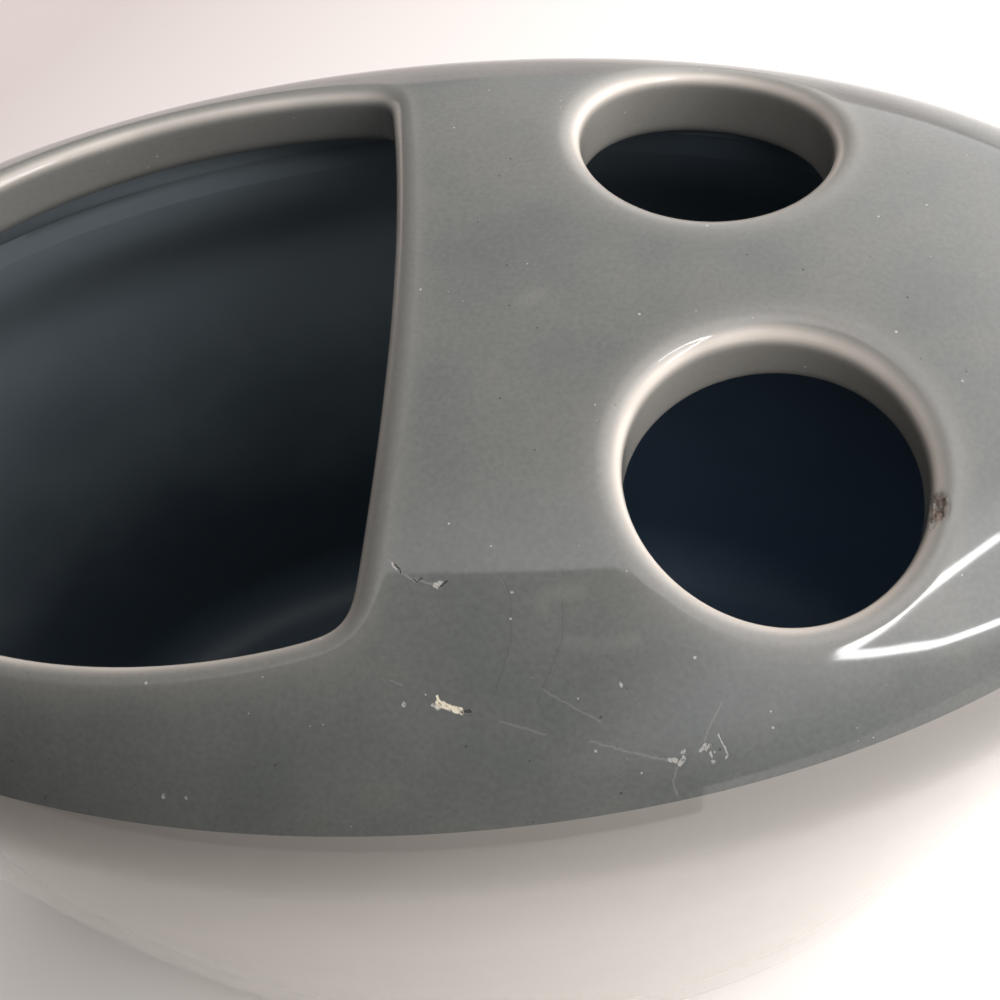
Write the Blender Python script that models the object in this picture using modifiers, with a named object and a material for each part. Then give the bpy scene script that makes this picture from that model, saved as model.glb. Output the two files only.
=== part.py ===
# Oval toothbrush holder: a grey-glazed crown with a wide pocket mouth and two brush holes, on a white pot.
# Lengths are in metres and +Z is up. The origin is on the table, under the middle of the oval.

import math

import bmesh
import bpy

# Body: an oval in plan, widest at the shoulder
HALF_LENGTH = 0.064
HALF_WIDTH = 0.038
TOTAL_HEIGHT = 0.098
CROWN_RISE = 0.0217        # from the widest level up to the top of the crown
SHOULDER_POWER = 3.0       # how squarely the crown turns down into the wall
CROWN_FLATTENING = 0.0090  # lifts the crown's ends, so it arches across and runs level lengthwise
TAPER_DEPTH = 0.150        # depth at which the narrowing wall would close to a point
TAPER_POWER = 2.5
FOOT_RADIUS = 0.006        # rounding between the wall and the foot

# Walls and the joint between the crown and the pot
CROWN_WALL = 0.006
POT_WALL = 0.005
COLOUR_LINE_DROP = 0.0114  # from the top of the crown down to the joint
JOINT_GAP = 0.0003
RIM_WIDTH = 0.0035         # flat of the pot's mouth that the crown rests on
SKIRT_CLEARANCE = 0.0003
SKIRT_THICKNESS = 0.003
SKIRT_DEPTH = 0.004
SKIRT_ROOT = 0.003         # how far the skirt runs up into the crown's wall

# Brush holes, one behind the other on the right
HOLE_RADIUS = 0.0102
HOLE_X = 0.0229
HOLE_Y = 0.0152            # either side of the long axis
LIP_RADIUS = 0.0018        # rounding of every opening's lip

# Pocket mouth on the left: an oval cut off by a bowed and slightly slanting side
POCKET_X = -0.0143
POCKET_HALF_LENGTH = 0.0334
POCKET_HALF_WIDTH = 0.0253
POCKET_UNEVENNESS = 0.0021  # the front half is longer than the back half by twice this
POCKET_SKEW = 0.047         # sideways drift of the cut per length
SIDE_X = -0.0038
SIDE_BOW = 0.0016
SIDE_BOW_SPAN = 0.022
SIDE_SLANT = 0.067
CORNER_RADIUS = 0.0028

# Foot ring, the recess inside it and the four pads
FOOT_RING_WIDTH = 0.0045
RECESS_DEPTH = 0.0014
PAD_RADIUS = 0.005
PAD_STAND_OFF = 0.0008     # how far the pads hold the foot ring off the table
PAD_GAP = 0.0003
PAD_EDGE = 0.0003
PAD_INSET = 0.0015         # from the recess wall to the nearest pad edge
PAD_TURN = 50              # degrees round the recess, from the long axis to a pad

# Colours are linear red, green and blue
SLATE_GREY = (0.185, 0.195, 0.190)
WARM_WHITE = (0.72, 0.70, 0.67)
PAD_GREY = (0.33, 0.33, 0.32)
GLAZE_ROUGHNESS = 0.15
RUBBER_ROUGHNESS = 0.6

# Facets
TURN_STEPS = 80
CROWN_STEPS = 12
WALL_STEPS = 9
FOOT_STEPS = 4
HOLE_STEPS = 36
PAD_STEPS = 24
POCKET_STEPS = 44
SIDE_STEPS = 11
LIP_ANGLES = (0, 30, 60)   # degrees round the lip, from the throat
LIP_RUN_OUT = 0.8          # how far the lip's cutter runs on past the lip, as a share of its radius
EASING_PASSES = 3          # times that the pocket's corners are cut to round them
EASED_BEND = 14            # degrees; a smaller bend is left as it is
SHARP_EDGE = 30            # degrees; a larger bend between faces shows as an edge
HALVINGS = 40              # steps of a search that halves its range
PAST = 0.004               # how far a cutter runs past what it cuts

WIDEST_Z = TOTAL_HEIGHT - CROWN_RISE
JOINT_Z = TOTAL_HEIGHT - COLOUR_LINE_DROP
FOOT_Z = PAD_STAND_OFF


def clear_scene():
    for old in list(bpy.data.objects):
        bpy.data.objects.remove(old, do_unlink=True)


def new_collection(name):
    collection = bpy.data.collections.new(name)
    bpy.context.scene.collection.children.link(collection)
    return collection


def new_object(name, mesh, collection):
    made = bpy.data.objects.new(name, mesh)
    collection.objects.link(made)
    return made


def finish_of(name, colour, roughness):
    material = bpy.data.materials.new(name)
    material.use_nodes = True
    shader = material.node_tree.nodes["Principled BSDF"]
    shader.inputs["Base Color"].default_value = (*colour, 1.0)
    shader.inputs["Roughness"].default_value = roughness
    shader.inputs["Metallic"].default_value = 0.0
    return material


def wall_scale(z):
    # share of the widest oval that the outer wall has at a height below the widest level
    return math.sqrt(1.0 - ((WIDEST_Z - z) / TAPER_DEPTH) ** TAPER_POWER)


def end_lift(x, y):
    # extra height that flattens the crown along its length, nothing at its edge
    reach = (x / HALF_LENGTH) ** 2 + (y / HALF_WIDTH) ** 2
    return CROWN_FLATTENING * (x / HALF_LENGTH) ** 2 * max(1.0 - reach, 0.0)


def crown_height(x, y):
    reach = min((x / HALF_LENGTH) ** 2 + (y / HALF_WIDTH) ** 2, 1.0)
    return WIDEST_Z + CROWN_RISE * (1.0 - reach) ** (1.0 / SHOULDER_POWER) + end_lift(x, y)


def oval_at_joint():
    # half length and half width of the outside at the joint, found by walking out along each axis
    halves = []
    for limit, along_x in ((HALF_LENGTH, True), (HALF_WIDTH, False)):
        low = 0.0
        high = limit
        for _ in range(HALVINGS):
            middle = (low + high) / 2
            height = crown_height(middle, 0.0) if along_x else crown_height(0.0, middle)
            if height > JOINT_Z:
                low = middle
            else:
                high = middle
        halves.append(low)
    return halves


def outer_profile():
    # half section of the outside at full length, top to bottom, before the crown is flattened
    points = []
    for step in range(CROWN_STEPS + 1):
        turn = math.pi / 2 * step / CROWN_STEPS
        height = WIDEST_Z + CROWN_RISE * math.cos(turn) ** (2.0 / SHOULDER_POWER)
        points.append((HALF_LENGTH * math.sin(turn), height if step < CROWN_STEPS else WIDEST_Z))
    foot_top = FOOT_Z + FOOT_RADIUS
    for step in range(1, WALL_STEPS + 1):
        height = WIDEST_Z + (foot_top - WIDEST_Z) * step / WALL_STEPS
        points.append((HALF_LENGTH * wall_scale(height), height))
    foot_half = HALF_LENGTH * wall_scale(foot_top)
    for step in range(1, FOOT_STEPS + 1):
        turn = math.pi / 2 * step / FOOT_STEPS
        half = foot_half - FOOT_RADIUS * (1 - math.cos(turn))
        points.append((half, foot_top - FOOT_RADIUS * math.sin(turn)))
    points.append((0.0, FOOT_Z))
    return points


def turned_surface(name, profile, collection):
    # a profile in the XZ plane turned about Z
    mesh = bpy.data.meshes.new(name)
    edges = [(at, at + 1) for at in range(len(profile) - 1)]
    mesh.from_pydata([(x, 0.0, z) for x, z in profile], edges, [])
    turned = new_object(name, mesh, collection)
    screw = turned.modifiers.new("turn", "SCREW")
    screw.steps = TURN_STEPS
    screw.render_steps = TURN_STEPS
    screw.use_merge_vertices = True
    screw.merge_threshold = 0.0001
    return turned


def body_surface(guides):
    # the whole outside as one closed skin: turned, narrowed to the oval, then flattened along the crown
    turned = turned_surface("body_outline", outer_profile(), guides)
    depsgraph = bpy.context.evaluated_depsgraph_get()
    skin = bpy.data.meshes.new_from_object(turned.evaluated_get(depsgraph))
    bpy.data.objects.remove(turned, do_unlink=True)
    for vertex in skin.vertices:
        vertex.co.y *= HALF_WIDTH / HALF_LENGTH
        if vertex.co.z > WIDEST_Z:
            vertex.co.z += end_lift(vertex.co.x, vertex.co.y)
    return skin


def shell(name, skin, wall, collection):
    made = new_object(name, skin.copy(), collection)
    solidify = made.modifiers.new("wall", "SOLIDIFY")
    solidify.thickness = wall
    solidify.offset = -1.0
    solidify.use_even_offset = True
    return made


def as_guide(cutter):
    cutter.display_type = "WIRE"
    cutter.hide_render = True
    return cutter


def box_guide(name, low, high, guides):
    # low and high are opposite corners
    mesh = bpy.data.meshes.new(name)
    form = bmesh.new()
    bmesh.ops.create_cube(form, size=1.0)
    for vertex in form.verts:
        for axis in range(3):
            vertex.co[axis] = low[axis] if vertex.co[axis] < 0 else high[axis]
    form.to_mesh(mesh)
    form.free()
    return as_guide(new_object(name, mesh, guides))


def oval_guide(name, half_length, half_width, low, high, guides):
    # an upright oval plug
    mesh = bpy.data.meshes.new(name)
    form = bmesh.new()
    bmesh.ops.create_cone(form, cap_ends=True, segments=TURN_STEPS, radius1=1.0, radius2=1.0, depth=1.0)
    for vertex in form.verts:
        vertex.co.x *= half_length
        vertex.co.y *= half_width
        vertex.co.z = low if vertex.co.z < 0 else high
    form.to_mesh(mesh)
    form.free()
    return as_guide(new_object(name, mesh, guides))


def hole_outline(centre_y):
    outline = []
    for step in range(HOLE_STEPS):
        turn = 2 * math.pi * step / HOLE_STEPS
        x = HOLE_X + HOLE_RADIUS * math.cos(turn)
        outline.append((x, centre_y + HOLE_RADIUS * math.sin(turn)))
    return outline


def side_x(y):
    # the pocket's bowed and slanting right side
    return SIDE_X + SIDE_BOW * (1.0 - (y / SIDE_BOW_SPAN) ** 2) + SIDE_SLANT * y


def pocket_oval(turn):
    reach = POCKET_HALF_LENGTH - POCKET_UNEVENNESS * math.sin(turn)
    along = reach * math.cos(turn)
    return POCKET_X + along, POCKET_HALF_WIDTH * math.sin(turn) + POCKET_SKEW * along


def pocket_corner(sign):
    # the turn of the oval at which it meets the right side, at the back (+1) or the front (-1)
    low = 0.0
    high = math.pi / 2
    for _ in range(HALVINGS):
        middle = (low + high) / 2
        x, y = pocket_oval(sign * middle)
        if x > side_x(y):
            low = middle
        else:
            high = middle
    return sign * low


def rounded(outline, radius):
    # eases a closed outline's corners: each pass cuts the corners of the last one
    points = list(outline)
    for _ in range(EASING_PASSES):
        eased = []
        for at, (x, y) in enumerate(points):
            before = points[at - 1]
            after = points[(at + 1) % len(points)]
            into = math.atan2(y - before[1], x - before[0])
            out = math.atan2(after[1] - y, after[0] - x)
            bend = abs((out - into + math.pi) % (2 * math.pi) - math.pi)
            if bend < math.radians(EASED_BEND):
                eased.append((x, y))
                continue
            shorter = min(math.dist(before, (x, y)), math.dist(after, (x, y)))
            cut = min(2 * radius * math.tan(bend / 4), shorter / 2)
            for other in (before, after):
                share = cut / math.dist(other, (x, y))
                eased.append((x + (other[0] - x) * share, y + (other[1] - y) * share))
        points = eased
    return points


def pocket_outline():
    # counter-clockwise from the back corner: back edge, left end, front edge, then up the right side
    back = pocket_corner(1)
    front = pocket_corner(-1) + 2 * math.pi
    curve = []
    for step in range(POCKET_STEPS + 1):
        curve.append(pocket_oval(back + (front - back) * step / POCKET_STEPS))
    low_y = curve[-1][1]
    high_y = curve[0][1]
    for step in range(1, SIDE_STEPS):
        y = low_y + (high_y - low_y) * step / SIDE_STEPS
        curve.append((side_x(y), y))
    return rounded(curve, CORNER_RADIUS)


def outward(outline):
    # unit normals of a counter-clockwise outline
    normals = []
    for at in range(len(outline)):
        before = outline[at - 1]
        after = outline[(at + 1) % len(outline)]
        length = math.dist(before, after)
        normals.append(((after[1] - before[1]) / length, -(after[0] - before[0]) / length))
    return normals


def lip_guide(name, outline, guides):
    # a plug whose sides flare at the crown's surface, so that it leaves a rounded lip round its outline
    normals = outward(outline)
    flare = []
    for turn in map(math.radians, LIP_ANGLES):
        flare.append((LIP_RADIUS * (1 - math.cos(turn)), LIP_RADIUS * (math.sin(turn) - 1)))
    run_out = LIP_RADIUS * LIP_RUN_OUT
    flare.append((flare[-1][0] + run_out * math.sin(turn), flare[-1][1] + run_out * math.cos(turn)))
    rings = [[(x, y, JOINT_Z - SKIRT_DEPTH - PAST) for x, y in outline]]
    for offset, drop in flare:
        ring = []
        for (x, y), (across, along) in zip(outline, normals):
            edge_x = x + across * offset
            edge_y = y + along * offset
            ring.append((edge_x, edge_y, crown_height(edge_x, edge_y) + drop))
        rings.append(ring)
    rings.append([(x, y, TOTAL_HEIGHT + PAST) for x, y, _ in rings[-1]])
    mesh = bpy.data.meshes.new(name)
    form = bmesh.new()
    layers = [[form.verts.new(point) for point in ring] for ring in rings]
    for lower, upper in zip(layers, layers[1:]):
        for at in range(len(outline)):
            following = (at + 1) % len(outline)
            form.faces.new((lower[at], lower[following], upper[following], upper[at]))
    form.faces.new(list(reversed(layers[0])))
    form.faces.new(layers[-1])
    form.to_mesh(mesh)
    form.free()
    return as_guide(new_object(name, mesh, guides))


def boolean(target, operation, other):
    step = target.modifiers.new(operation.lower() + "_" + other.name, "BOOLEAN")
    step.operation = operation
    step.object = other
    step.solver = "EXACT"


def dress(made, material):
    made.data.materials.clear()
    made.data.materials.append(material)
    made.data.shade_smooth()
    made.data.set_sharp_from_angle(angle=math.radians(SHARP_EDGE))


def skirt_halves():
    half_length, half_width = oval_at_joint()
    inset = RIM_WIDTH + SKIRT_CLEARANCE
    return half_length - inset, half_width - inset


def make_crown(skin, parts, guides):
    crown = shell("grey_crown", skin, CROWN_WALL, parts)
    past = HALF_LENGTH + PAST
    seat = JOINT_Z + JOINT_GAP / 2
    below = box_guide("below_joint", (-past, -past, -PAST), (past, past, seat), guides)
    boolean(crown, "DIFFERENCE", below)
    long_half, wide_half = skirt_halves()
    low = JOINT_Z - SKIRT_DEPTH
    high = JOINT_Z + SKIRT_ROOT
    skirt = oval_guide("skirt", long_half, wide_half, low, high, guides)
    bore = oval_guide("skirt_bore", long_half - SKIRT_THICKNESS, wide_half - SKIRT_THICKNESS,
                      low - PAST, high + PAST, guides)
    boolean(skirt, "DIFFERENCE", bore)
    boolean(crown, "UNION", skirt)
    boolean(crown, "DIFFERENCE", lip_guide("pocket_mouth", pocket_outline(), guides))
    for side, place in (("back", HOLE_Y), ("front", -HOLE_Y)):
        boolean(crown, "DIFFERENCE", lip_guide("brush_hole_" + side, hole_outline(place), guides))
    dress(crown, finish_of("grey_glaze", SLATE_GREY, GLAZE_ROUGHNESS))
    return crown


def make_pot(skin, parts, guides):
    pot = shell("white_pot", skin, POT_WALL, parts)
    past = HALF_LENGTH + PAST
    rim = JOINT_Z - JOINT_GAP / 2
    above = box_guide("above_joint", (-past, -past, rim), (past, past, TOTAL_HEIGHT + PAST), guides)
    boolean(pot, "DIFFERENCE", above)
    half_length, half_width = oval_at_joint()
    mouth = oval_guide("mouth_bore", half_length - RIM_WIDTH, half_width - RIM_WIDTH,
                       JOINT_Z - SKIRT_DEPTH - SKIRT_CLEARANCE, JOINT_Z + PAST, guides)
    boolean(pot, "DIFFERENCE", mouth)
    long_half, wide_half = recess_halves()
    recess = oval_guide("foot_recess", long_half, wide_half, FOOT_Z - PAST, FOOT_Z + RECESS_DEPTH, guides)
    boolean(pot, "DIFFERENCE", recess)
    dress(pot, finish_of("white_glaze", WARM_WHITE, GLAZE_ROUGHNESS))
    return pot


def recess_halves():
    # the flat foot's half length and half width, less the ring; narrowing the oval narrows its rounding too
    flat_length = HALF_LENGTH * wall_scale(FOOT_Z + FOOT_RADIUS) - FOOT_RADIUS
    flat_width = flat_length * HALF_WIDTH / HALF_LENGTH
    return flat_length - FOOT_RING_WIDTH, flat_width - FOOT_RING_WIDTH


def make_pads(parts):
    # one pad near each quarter of the recess
    long_half, wide_half = recess_halves()
    turn = math.radians(PAD_TURN)
    reach_x = (long_half - PAD_RADIUS - PAD_INSET) * math.cos(turn)
    reach_y = (wide_half - PAD_RADIUS - PAD_INSET) * math.sin(turn)
    height = PAD_STAND_OFF + RECESS_DEPTH - PAD_GAP
    rubber = finish_of("pad_rubber", PAD_GREY, RUBBER_ROUGHNESS)
    mesh = bpy.data.meshes.new("foot_pad")
    form = bmesh.new()
    bmesh.ops.create_cone(form, cap_ends=True, segments=PAD_STEPS, radius1=PAD_RADIUS, radius2=PAD_RADIUS,
                          depth=height)
    form.to_mesh(mesh)
    form.free()
    places = (("left_front", -1, -1), ("right_front", 1, -1), ("left_back", -1, 1), ("right_back", 1, 1))
    for name, side, depth in places:
        pad = new_object("foot_pad_" + name, mesh, parts)
        pad.location = (side * reach_x, depth * reach_y, height / 2)
        edge = pad.modifiers.new("edge", "BEVEL")
        edge.width = PAD_EDGE
        edge.segments = 1
        edge.limit_method = "ANGLE"
    dress(pad, rubber)


def main():
    clear_scene()
    parts = new_collection("toothbrush_holder")
    guides = new_collection("guides")
    skin = body_surface(guides)
    make_crown(skin, parts, guides)
    make_pot(skin, parts, guides)
    make_pads(parts)
    bpy.data.meshes.remove(skin)


main()
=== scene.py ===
import math

import bmesh
import bpy
import numpy as np
from mathutils import Matrix, Vector


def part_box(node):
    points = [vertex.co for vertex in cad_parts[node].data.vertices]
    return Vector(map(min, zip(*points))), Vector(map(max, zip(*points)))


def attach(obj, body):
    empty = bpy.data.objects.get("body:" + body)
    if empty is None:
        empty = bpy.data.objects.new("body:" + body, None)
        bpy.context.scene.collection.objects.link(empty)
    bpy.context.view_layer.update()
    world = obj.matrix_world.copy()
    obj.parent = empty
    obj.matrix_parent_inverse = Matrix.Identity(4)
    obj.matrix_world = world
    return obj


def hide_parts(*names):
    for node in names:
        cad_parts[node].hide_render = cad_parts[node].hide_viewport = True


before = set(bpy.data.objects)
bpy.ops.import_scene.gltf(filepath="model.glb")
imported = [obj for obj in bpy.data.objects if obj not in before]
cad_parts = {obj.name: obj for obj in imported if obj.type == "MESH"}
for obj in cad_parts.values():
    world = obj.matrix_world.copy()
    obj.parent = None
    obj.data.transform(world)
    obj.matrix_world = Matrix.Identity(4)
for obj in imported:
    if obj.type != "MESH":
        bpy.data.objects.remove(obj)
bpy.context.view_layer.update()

# A glazed ceramic toothbrush holder: a grey crown with its openings, on a white pot with four rubber pads.
# Shapes are worked out in millimetres and turned to metres as each mesh is made.
mm = 0.001
halvings = 46         # steps of a search by halving, enough for the last digit
weldReach = 0.002     # millimetres within which points of different grids are one
sharpFrom = 42        # degrees between two faces from which their edge is shaded sharp


def boxOf(name):
    # lowest and highest corner of a CAD node, in millimetres
    low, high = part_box(name)
    return np.array(low) / mm, np.array(high) / mm


potLow, potHigh = boxOf("white_pot")
crownLow, _ = boxOf("grey_crown")

# The holder's body: an oval, arched on top, whose wall narrows towards the foot
body = {
    "halfLength": potHigh[0],
    "halfWidth": potHigh[1],
    "archTop": 98.0,          # height of the arch over the middle of the oval
    "archRise": 21.7,         # from the widest level up to there
    "shoulderPower": 3.0,     # how squarely the arch turns down into the wall
    "endLift": 9.0,           # holds the arch level along its length
    "leftLift": 3.0,          # and a little more on the pocket's side
    "colourLine": potHigh[2] + 0.15,   # where the grey glaze stops
    "taperDepth": 150.0,
    "taperPower": 2.5,
    "foot": potLow[2],
    "footRounding": 6.0,
}
halfLength = body["halfLength"]
halfWidth = body["halfWidth"]
widest = body["archTop"] - body["archRise"]
colourLine = body["colourLine"]


def archHeight(x, y):
    # Height of the arch over a place in plan: the rise times a root of what is left of the oval there, plus a
    # lift that grows with the square of x, and on the left with its cube, and dies away at the oval's edge.
    left = np.clip(1 - (x / halfLength) ** 2 - (y / halfWidth) ** 2, 0, 1)
    lift = body["endLift"] * (x / halfLength) ** 2 + body["leftLift"] * np.clip(-x / halfLength, 0, 1) ** 3
    return widest + body["archRise"] * left ** (1 / body["shoulderPower"]) + lift * left


def wallShare(z):
    # Below the widest level the wall keeps this share of the oval: the root of one less a power of the depth.
    return np.sqrt(1 - np.clip((widest - z) / body["taperDepth"], 0, 1) ** body["taperPower"])


def over(place, height):
    # points at a height over places in plan, which are complex numbers
    return np.stack([place.real, place.imag, np.broadcast_to(height, place.shape)], axis=-1)


def archOver(place):
    # height of the arch over places in plan, as complex numbers
    return archHeight(place.real, place.imag)


def halving(inside, low, high):
    # Whole arrays searched at once by halving: the last place that is still inside.
    for _ in range(halvings):
        middle = (low + high) / 2
        within = inside(middle)
        low = np.where(within, middle, low)
        high = np.where(within, high, middle)
    return low


def reachToLine(x, y, angle):
    # How far the colour line is from a place in plan, along each angle.
    def above(reach):
        return archHeight(x + reach * np.cos(angle), y + reach * np.sin(angle)) > colourLine
    return halving(above, np.zeros_like(angle), np.full_like(angle, 2 * halfLength + 10))


def shareAt(turn, z):
    # Share of the oval that the arch has at a height above the widest level, for each turn round the oval.
    def above(share):
        return archHeight(share * halfLength * np.cos(turn), share * halfWidth * np.sin(turn)) > z
    return halving(above, np.zeros_like(turn), np.ones_like(turn))


def meshFromGrids(name, grids, materials, slotRows=None, values=None):
    # Grids of points are (rows, columns, 3) and close on themselves along their columns. They become one
    # mesh, and points of different grids that lie on the same place are welded. values are named numbers for
    # each point, which the materials read as attributes.
    points, faces, slots, start = [], [], [], 0
    for at, grid in enumerate(grids):
        rows, columns = grid.shape[:2]
        index = start + np.arange(rows * columns).reshape(rows, columns)
        ahead = np.roll(index, -1, axis=1)
        faces.append(np.stack([index[:-1], ahead[:-1], ahead[1:], index[1:]], axis=-1).reshape(-1, 4))
        rowSlots = np.zeros(rows - 1, int) if slotRows is None else slotRows[at]
        slots.append(np.repeat(rowSlots, columns))
        points.append(grid.reshape(-1, 3))
        start += rows * columns
    mesh = bpy.data.meshes.new(name)
    mesh.from_pydata(np.concatenate(points) * mm, [], np.concatenate(faces))
    mesh.polygons.foreach_set("material_index", np.concatenate(slots).astype(np.int32))
    for key, numbers in (values or {}).items():
        layer = mesh.attributes.new(key, "FLOAT", "POINT")
        layer.data.foreach_set("value", np.concatenate([n.ravel() for n in numbers]).astype(np.float32))
    for material in materials:
        mesh.materials.append(material)
    return weldMesh(mesh)


def weldMesh(mesh):
    # merges coincident points and drops the faces that close up at a pole
    form = bmesh.new()
    form.from_mesh(mesh)
    bmesh.ops.remove_doubles(form, verts=form.verts, dist=weldReach * mm)
    form.to_mesh(mesh)
    form.free()
    mesh.shade_smooth()
    mesh.set_sharp_from_angle(angle=math.radians(sharpFrom))
    return mesh


def addObject(name, data):
    made = bpy.data.objects.new(name, data)
    bpy.context.scene.collection.objects.link(made)
    return made


def addPiece(name, mesh, slotName, *nodes):
    piece = addObject(name, mesh)
    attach(piece, "root")
    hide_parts(*nodes)
    form = bmesh.new()
    form.from_mesh(mesh)
    openEdges = sum(1 for edge in form.edges if len(edge.link_faces) != 2)
    volume = form.calc_volume(signed=True) / mm ** 3
    form.free()
    triangles = sum(len(face.vertices) - 2 for face in mesh.polygons)
    print(f"{name}: {triangles} triangles, {openEdges} open edges, {volume / 1000:.1f} cubic centimetres")
    return piece


def linear(colour):
    # an sRGB hex colour as linear red, green, blue and alpha
    parts = [int(colour[at:at + 2], 16) / 255 for at in (1, 3, 5)]
    return (*[c / 12.92 if c <= 0.04045 else ((c + 0.055) / 1.055) ** 2.4 for c in parts], 1.0)


def newMaterial(name):
    # an empty material with its output; a shader is linked to it by the caller
    material = bpy.data.materials.new(name)
    material.use_nodes = True
    material.node_tree.nodes.clear()
    return material, material.node_tree


def add(tree, kind, settings=None, inputs=None):
    # Adds a node: settings are its properties, and each input takes a value, an output, or a node, which
    # stands for its first output.
    made = tree.nodes.new("ShaderNode" + kind)
    for key, value in (settings or {}).items():
        setattr(made, key, value)
    for key, value in (inputs or {}).items():
        if isinstance(value, bpy.types.Node):
            value = value.outputs[0]
        if isinstance(value, bpy.types.NodeSocket):
            tree.links.new(value, made.inputs[key])
        else:
            made.inputs[key].default_value = value
    return made


# Settings that many nodes share
inColour = {"data_type": "RGBA"}
product = {"operation": "MULTIPLY"}
smoothly = {"interpolation_type": "SMOOTHSTEP"}

print("stage: camera, floor and light")

# The camera stands over the front of the holder and looks down on it, a hand's width away.
view = {
    "place": (7.3, -61.1, 169.1),   # millimetres
    "yaw": -3.62,                   # degrees; the way it faces, from straight back towards +X
    "pitch": 58.76,                 # degrees below level
    "roll": -7.69,
    "lens": 46.74,                  # millimetres, as the sensor's width is
    "sensor": 36.0,
    "nearest": 5.0,
}


def addCamera():
    data = bpy.data.cameras.new("camera")
    data.lens = view["lens"]
    data.sensor_width = view["sensor"]
    data.clip_start = view["nearest"] * mm
    camera = addObject("camera", data)
    yaw, pitch, roll = (math.radians(view[key]) for key in ("yaw", "pitch", "roll"))
    ahead = Vector((math.sin(yaw) * math.cos(pitch), math.cos(yaw) * math.cos(pitch), -math.sin(pitch)))
    level = Vector((math.cos(yaw), -math.sin(yaw), 0))
    upright = level.cross(ahead)
    across = level * math.cos(roll) + upright * math.sin(roll)
    up = upright * math.cos(roll) - level * math.sin(roll)
    turned = Matrix((across, up, -ahead)).transposed().to_4x4()
    camera.matrix_world = Matrix.Translation(Vector(view["place"]) * mm) @ turned
    bpy.context.scene.camera = camera
    return camera


camera = addCamera()

floorLook = {
    "size": 3000.0,
    # painted shade: the far left corner is darker, as less light falls there
    "left": "#CCC3BF",
    "right": "#FFFCF8",
    "across": (1.0, -0.8, 0.0),     # the way in which the painted shade gives way to paler board
    "between": (-205.0, -40.0),     # and between which places
}


def paleBoard():
    # Matt painted board: pale, with painted shade that darkens it towards the far left corner, and it takes
    # the holder's soft shadow.
    material, tree = newMaterial("painted_board_matt")
    place = add(tree, "TexCoord").outputs["Object"]
    along = add(tree, "VectorMath", {"operation": "DOT_PRODUCT"}, {0: place, 1: floorLook["across"]})
    first, last = floorLook["between"]
    share = add(tree, "MapRange", inputs={0: along.outputs["Value"], 1: first * mm, 2: last * mm})
    shade = add(tree, "Mix", inColour, {
        0: share, 6: linear(floorLook["left"]), 7: linear(floorLook["right"])}).outputs[2]
    surface = add(tree, "BsdfDiffuse", inputs={"Color": shade})
    add(tree, "OutputMaterial", inputs={"Surface": surface})
    return material


def addStage(name, corners, faces, material):
    # a part of the studio, not of the holder; corners are in millimetres
    mesh = bpy.data.meshes.new(name)
    mesh.from_pydata([tuple(c * mm for c in corner) for corner in corners], [], faces)
    mesh.materials.append(material)
    made = addObject(name, mesh)
    return made


half = floorLook["size"] / 2
floorCorners = [(-half, -half, 0), (half, -half, 0), (half, half, 0), (-half, half, 0)]
addStage("floor", floorCorners, [(0, 1, 2, 3)], paleBoard())

# Directions are degrees clockwise from +Y, seen from above, and degrees above level. Each glow of the room
# has its full light (radiance in red, green and blue) where the cosine between it and a direction is "full",
# and none where that is "gone".
room = {
    "backWindow": {"at": (45, 10), "gone": 0.5, "full": 1.0, "light": (1.61, 1.58, 1.57)},
    "windowReveal": {"at": (30, 35), "gone": 0.6, "full": 1.0, "light": (0.26, 0.21, 0.18)},
    "windowHead": {"at": (60, 50), "gone": 0.6, "full": 1.0, "light": (1.02, 0.98, 0.96)},
    "sideWall": {"at": (90, 40), "gone": 0.6, "full": 1.0, "light": (0.34, 0.31, 0.31)},
    "brightDoor": {"at": (112, 28), "gone": 0.9, "full": 0.97, "light": (2.10, 2.05, 2.00)},
    "rightWall": {"at": (120, 50), "gone": 0.6, "full": 1.0, "light": (0.43, 0.41, 0.42)},
    "doorway": {"at": (138, 12), "gone": 0.85, "full": 1.0, "light": (0.85, 0.83, 0.81)},
    "lintel": {"at": (155, 32), "gone": 0.9, "full": 1.0, "light": (0.27, 0.26, 0.26)},
    "ceiling": {"at": (150, 60), "gone": 0.65, "full": 1.0, "light": (0.62, 0.62, 0.64)},
    "ceilingBehind": {"at": (180, 60), "gone": 0.65, "full": 1.0, "light": (0.72, 0.73, 0.76)},
    "overhead": {"at": (170, 75), "gone": 0.9, "full": 1.0, "light": (0.28, 0.29, 0.30)},
}
dimmest = 0.02
# A lamp that hangs over the board in front, out of the picture, and shines straight down: the board sends its
# light up to the white front.
boardLamp = {"place": (-60.0, -162.0, 100.0), "size": (350.0, 126.0), "colour": "#FFF6EE", "radiance": 0.69}
# Two bright edges of the window, which the glaze mirrors as white strokes: the places that each runs through,
# and how many degrees wide it is there.
strips = {
    "upper": {"through": [(141.5, 36.6), (139, 38), (136, 39), (131, 41), (125, 41), (119, 40.5), (113, 39)],
              "widths": (2.0, 3.4, 4.2, 3.6, 2.6, 2.2, 2.0), "radiance": 24.0},
    "lower": {"through": [(141.5, 36.6), (139, 32), (136, 28), (134, 24), (130, 20.5), (126, 17), (121, 14)],
              "widths": (2.0, 2.1, 2.2, 2.2, 2.2, 2.1, 2.0), "radiance": 24.0},
}
stripAway = 1000.0
stripSteps = 40
stripEasing = 7       # steps over which its bends are eased
# A dark card round the lens, which the glaze mirrors in front of the holes. Its corners are millimetres
# across and up in its own plane. Between two places across it thins to a net and lets the light through.
card = {
    "corners": [(-26, 40.5), (10, 34.5), (17, 28), (60, 10), (60, -190), (-220, -190), (-220, -40),
                (-130, -12), (-70, 5), (-36, 26)],
    "colour": "#262524",
    "net": (7.0, 46.0),
}
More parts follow.
